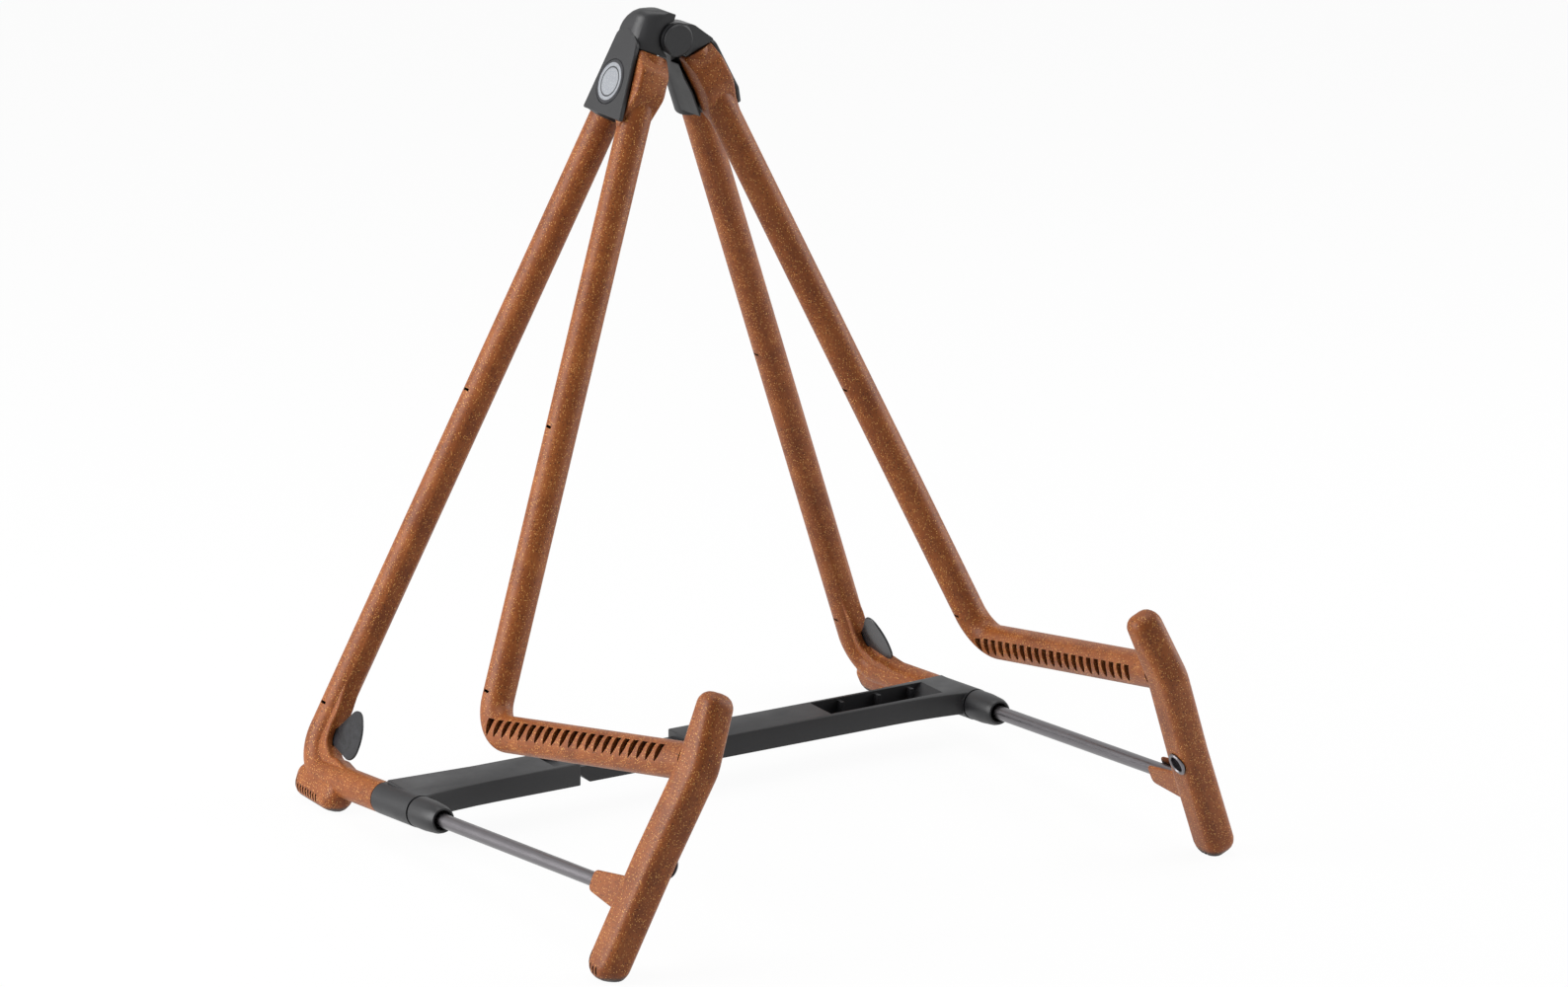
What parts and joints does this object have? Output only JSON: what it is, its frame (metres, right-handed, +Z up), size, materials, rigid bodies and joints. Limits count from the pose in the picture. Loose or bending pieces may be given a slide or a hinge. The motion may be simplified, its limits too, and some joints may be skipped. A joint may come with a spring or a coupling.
{
  "type": "folding guitar stand",
  "caption": "Folding A-frame guitar stand with leaning side frames, slotted support arms, head hinge, sliding rods, latching cross brace and stowed picks.",
  "frame": {"origin": "centre of the box on the floor under the stand", "axes": "+Z up; -Y the player's side, where the support arms end; +X to the right"},
  "size_m": [0.3308, 0.3114, 0.3619],
  "materials": {
    "cork_compound": "warm brown cork compound, speckled, satin",
    "black_plastic": "moulded black, satin",
    "dark_steel": "dark satin steel",
    "pale_badge": "pale blank disc",
    "pick_celluloid": "dark grey celluloid",
    "washer_nylon": "natural nylon"
  },
  "bodies": {
    "left_side": {"rear_leg_left": "cork_compound", "head_shell_left": "black_plastic", "head_badge_left": "pale_badge", "arm_pivot_pin_left": "dark_steel", "friction_washer_left": "washer_nylon", "collar_left": "black_plastic", "hinge_pin": "dark_steel", "hinge_cap_rear": "black_plastic"},
    "right_side": {"rear_leg_right": "cork_compound", "head_shell_right": "black_plastic", "head_badge_right": "pale_badge", "arm_pivot_pin_right": "dark_steel", "friction_washer_right": "washer_nylon", "collar_right": "black_plastic", "hinge_cap_front": "black_plastic"},
    "arm_left": {"front_arm_left": "cork_compound", "bar_bush_left": "dark_steel"},
    "arm_right": {"front_arm_right": "cork_compound", "bar_bush_right": "dark_steel"},
    "rod_left": {"rod_left": "dark_steel"},
    "rod_right": {"rod_right": "dark_steel"},
    "brace_left": {"brace_left": "black_plastic", "brace_latch_pin": "dark_steel"},
    "brace_right": {"brace_right": "black_plastic"},
    "pick_left": {"pick_left": "pick_celluloid"},
    "pick_right": {"pick_right": "pick_celluloid"}
  },
  "joints": [
    {"name": "top_hinge", "type": "hinge", "parent": "left_side", "child": "right_side", "pos_m": [0, 0.084, 0.34884], "axis": [0, 1, 0], "range_deg": [0, 26]},
    {"name": "arm_swing_left", "type": "hinge", "parent": "left_side", "child": "arm_left", "pos_m": [-0.01745, 0.08303, 0.3266], "axis": [0.9218, -0.0127, -0.3875], "range_deg": [0, 18]},
    {"name": "rod_slide_left", "type": "slide", "parent": "left_side", "child": "rod_left", "axis": [-0.0219, 0.9962, -0.0848], "range_m": [0, 0.101]},
    {"name": "pick_slide_left", "type": "slide", "parent": "left_side", "child": "pick_left", "axis": [0.0219, -0.9962, 0.0848], "range_m": [0, 0.025]},
    {"name": "arm_swing_right", "type": "hinge", "parent": "right_side", "child": "arm_right", "pos_m": [0.01745, 0.08303, 0.3266], "axis": [0.9218, 0.0127, 0.3875], "range_deg": [0, 18]},
    {"name": "rod_slide_right", "type": "slide", "parent": "right_side", "child": "rod_right", "axis": [0.0219, 0.9962, -0.0848], "range_m": [0, 0.101]},
    {"name": "pick_slide_right", "type": "slide", "parent": "right_side", "child": "pick_right", "axis": [-0.0219, -0.9962, 0.0848], "range_m": [0, 0.025]},
    {"name": "brace_turn_left", "type": "hinge", "parent": "left_side", "child": "brace_left", "pos_m": [-0.14727, 0.06463, 0.0184], "axis": [0.0219, -0.9962, 0.0848], "range_deg": [0, 8.1]},
    {"name": "brace_turn_right", "type": "hinge", "parent": "right_side", "child": "brace_right", "pos_m": [0.14727, 0.06463, 0.0184], "axis": [0.0219, 0.9962, -0.0848], "range_deg": [0, 34.1]}
  ],
  "couplings": [
    {"joint": "rod_slide_left", "follows": "arm_swing_left", "m_per_rad": 0.31831},
    {"joint": "rod_slide_right", "follows": "arm_swing_right", "m_per_rad": 0.31831},
    {"joint": "brace_turn_right", "follows": "top_hinge", "ratio": 1.3077},
    {"joint": "brace_turn_left", "follows": "top_hinge", "ratio": 0.30769}
  ]
}
